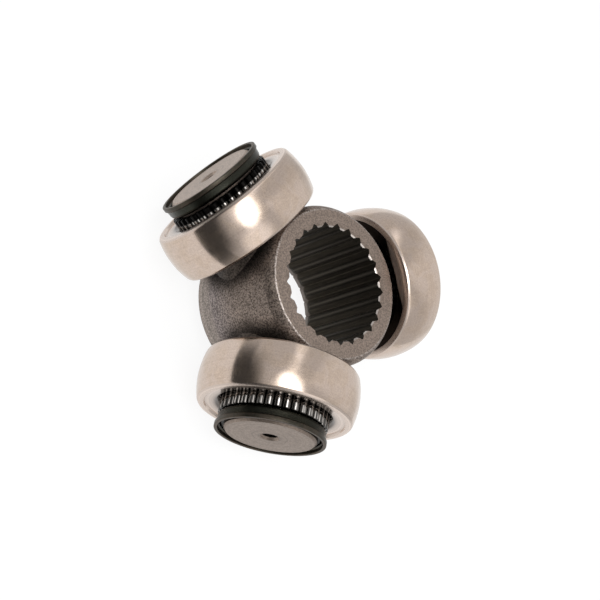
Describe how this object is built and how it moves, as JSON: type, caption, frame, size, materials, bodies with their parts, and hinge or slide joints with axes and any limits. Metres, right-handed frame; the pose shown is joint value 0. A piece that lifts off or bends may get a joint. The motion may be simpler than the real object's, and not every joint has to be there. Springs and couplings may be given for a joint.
{
  "type": "tripod cv joint",
  "caption": "Tripod of a plunging constant-velocity joint: splined hub with three trunnions, each with a crowned roller on needles, a retainer cup and a snap ring.",
  "frame": {"origin": "the point where the three trunnion axes meet the axis of the splined bore", "axes": "+Z along the bore towards the front face, -Y along trunnion A; trunnions B and C at 150 and 30 degrees from +X"},
  "size_m": [0.0692, 0.062, 0.0354],
  "materials": {
    "spider_steel": "forged and machined steel, oiled, fine matte grain",
    "roller_steel": "hardened bearing steel, ground and honed to a soft shine",
    "needle_steel": "hardened bearing steel, polished and oiled",
    "retainer_steel": "pressed steel, blackened, semi-gloss",
    "spring_steel": "spring steel, blackened"
  },
  "bodies": {
    "spider": {"spider": "spider_steel", "snap_ring_a": "spring_steel", "snap_ring_b": "spring_steel", "snap_ring_c": "spring_steel"},
    "retainer_a": {"retainer_a": "retainer_steel"},
    "roller_a": {"roller_a": "roller_steel"},
    "needles_a": {"needles_a": "needle_steel"},
    "retainer_b": {"retainer_b": "retainer_steel"},
    "roller_b": {"roller_b": "roller_steel"},
    "needles_b": {"needles_b": "needle_steel"},
    "retainer_c": {"retainer_c": "retainer_steel"},
    "roller_c": {"roller_c": "roller_steel"},
    "needles_c": {"needles_c": "needle_steel"}
  },
  "joints": [
    {"name": "roller_a_spin", "type": "hinge", "parent": "spider", "child": "retainer_a", "pos_m": [0, -0.0224, 0], "axis": [0, -1, 0], "continuous": true},
    {"name": "roller_a_slide", "type": "slide", "parent": "retainer_a", "child": "roller_a", "axis": [0, -1, 0], "range_m": [-0.00005, 0.00507]},
    {"name": "needles_a_orbit", "type": "hinge", "parent": "spider", "child": "needles_a", "pos_m": [0, -0.0224, 0], "axis": [0, -1, 0], "continuous": true},
    {"name": "roller_b_spin", "type": "hinge", "parent": "spider", "child": "retainer_b", "pos_m": [-0.0194, 0.0112, 0], "axis": [-0.866, 0.5, 0], "continuous": true},
    {"name": "roller_b_slide", "type": "slide", "parent": "retainer_b", "child": "roller_b", "axis": [-0.866, 0.5, 0], "range_m": [-0.00055, 0.00457]},
    {"name": "needles_b_orbit", "type": "hinge", "parent": "spider", "child": "needles_b", "pos_m": [-0.0194, 0.0112, 0], "axis": [-0.866, 0.5, 0], "continuous": true},
    {"name": "roller_c_spin", "type": "hinge", "parent": "spider", "child": "retainer_c", "pos_m": [0.0194, 0.0112, 0], "axis": [0.866, 0.5, 0], "continuous": true},
    {"name": "roller_c_slide", "type": "slide", "parent": "retainer_c", "child": "roller_c", "axis": [0.866, 0.5, 0], "range_m": [-0.00105, 0.00407]},
    {"name": "needles_c_orbit", "type": "hinge", "parent": "spider", "child": "needles_c", "pos_m": [0.0194, 0.0112, 0], "axis": [0.866, 0.5, 0], "continuous": true}
  ],
  "couplings": [
    {"joint": "needles_a_orbit", "follows": "roller_a_spin", "ratio": 0.5417},
    {"joint": "needles_b_orbit", "follows": "roller_b_spin", "ratio": 0.5417},
    {"joint": "needles_c_orbit", "follows": "roller_c_spin", "ratio": 0.5417}
  ]
}
